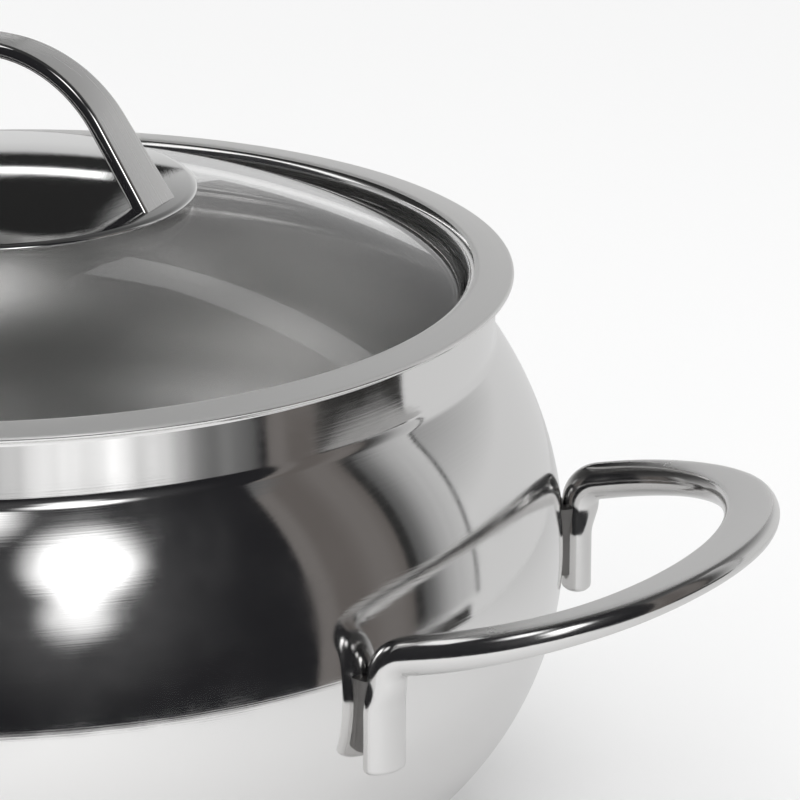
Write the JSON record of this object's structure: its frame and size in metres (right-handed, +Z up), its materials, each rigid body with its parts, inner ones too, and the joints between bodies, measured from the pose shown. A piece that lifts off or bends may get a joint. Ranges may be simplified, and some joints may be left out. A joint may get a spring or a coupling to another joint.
{
  "type": "soup kettle",
  "caption": "Round-bellied stainless steel soup pot with rod side handles, a heat-spreading base and a domed glass lid that lifts off by an arched bar handle.",
  "frame": {"origin": "middle of the base, on the surface the pot stands on", "axes": "+Z up along the pot's axis, +X out through the side handle seen at the right of the picture, +Y towards the far side; the arch on the lid also runs along X"},
  "size_m": [0.3906, 0.277, 0.1988],
  "materials": {
    "polished_steel": "mirror-polished stainless steel",
    "satin_steel": "satin stainless steel with polished rounded edges",
    "weld_steel": "dull weld seam",
    "clear_glass": "clear tempered glass",
    "core_aluminium": "plain, closed in by the base cup",
    "silicone": "matte translucent silicone"
  },
  "bodies": {
    "pot": {"pot_body": "polished_steel", "base_core": "core_aluminium", "base_cap": "satin_steel", "handle_right": "satin_steel", "handle_left": "satin_steel", "handle_right_welds": "weld_steel", "handle_left_welds": "weld_steel"},
    "lid": {"lid_ring": "satin_steel", "lid_glass": "clear_glass", "lid_plate": "polished_steel", "lid_arch": "satin_steel", "lid_stud": "satin_steel", "lid_gasket": "silicone", "lid_seal": "silicone", "lid_washer": "satin_steel", "lid_cap_nut": "satin_steel"}
  },
  "joints": [
    {"name": "lid_lift", "type": "slide", "parent": "pot", "child": "lid", "axis": [0, 0, 1], "range_m": [0, 0.15]}
  ]
}
